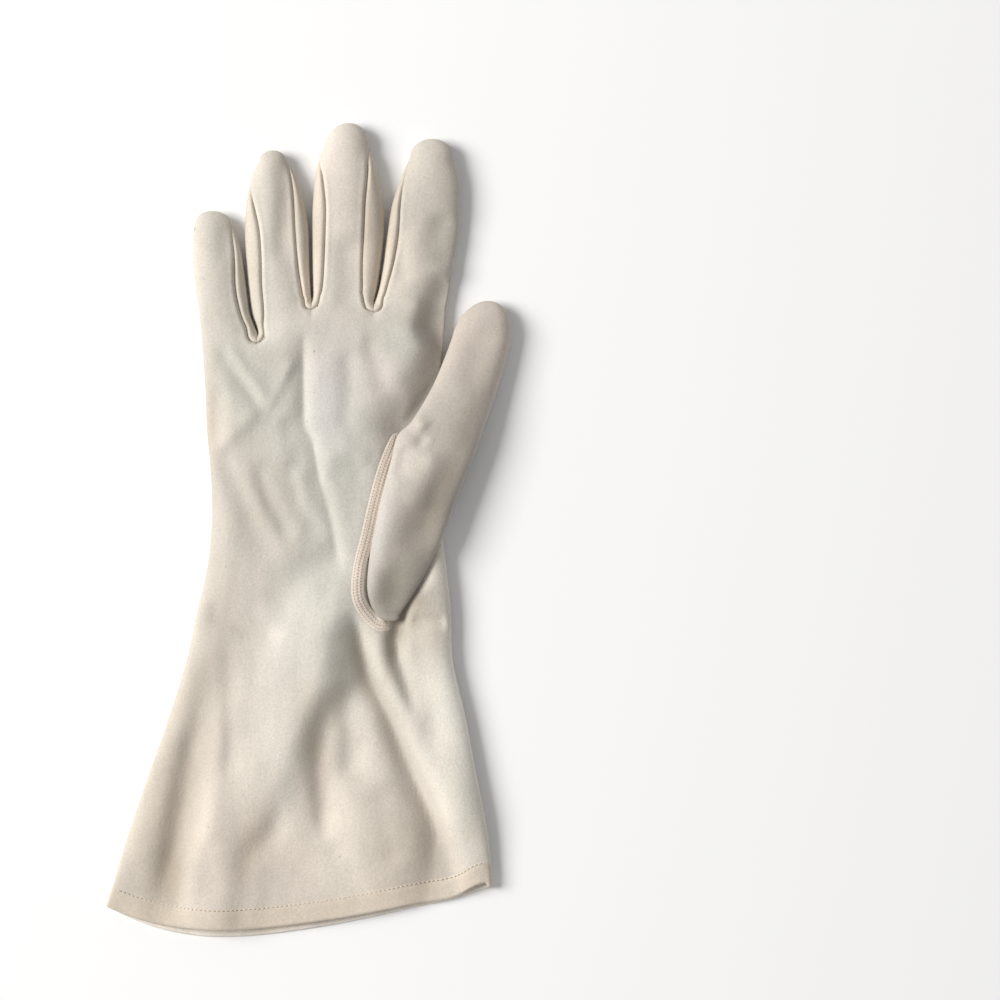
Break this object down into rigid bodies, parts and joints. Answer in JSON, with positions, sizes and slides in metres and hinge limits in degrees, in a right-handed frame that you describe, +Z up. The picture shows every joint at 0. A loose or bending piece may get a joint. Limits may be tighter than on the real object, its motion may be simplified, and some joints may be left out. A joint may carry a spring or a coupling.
{
  "type": "dress glove",
  "caption": "Short gauntlet dress glove of thin knit cloth, lying flat with its palm up: sewn palm and back, finger side strips, thumb folded over the palm, flared open cuff with a stitched hem.",
  "frame": {"origin": "on the surface that the glove lies on, under the middle of its footprint", "axes": "+Y along the glove towards the fingertips, +X towards the thumb, +Z up out of the palm"},
  "size_m": [0.1516, 0.3039, 0.0162],
  "materials": {
    "cloth": "matt off-white simplex knit with a fine nap",
    "fourchette_cloth": "the same knit, a little warmer along the seams",
    "thumb_cloth": "the same knit, slightly soiled"
  },
  "bodies": {
    "root": {"trank": "cloth", "fourchette_little": "fourchette_cloth", "fourchette_ring_outer": "fourchette_cloth", "fourchette_ring_inner": "fourchette_cloth", "fourchette_middle_outer": "fourchette_cloth", "fourchette_middle_inner": "fourchette_cloth", "fourchette_index": "fourchette_cloth", "thumb": "thumb_cloth"}
  },
  "joints": []
}
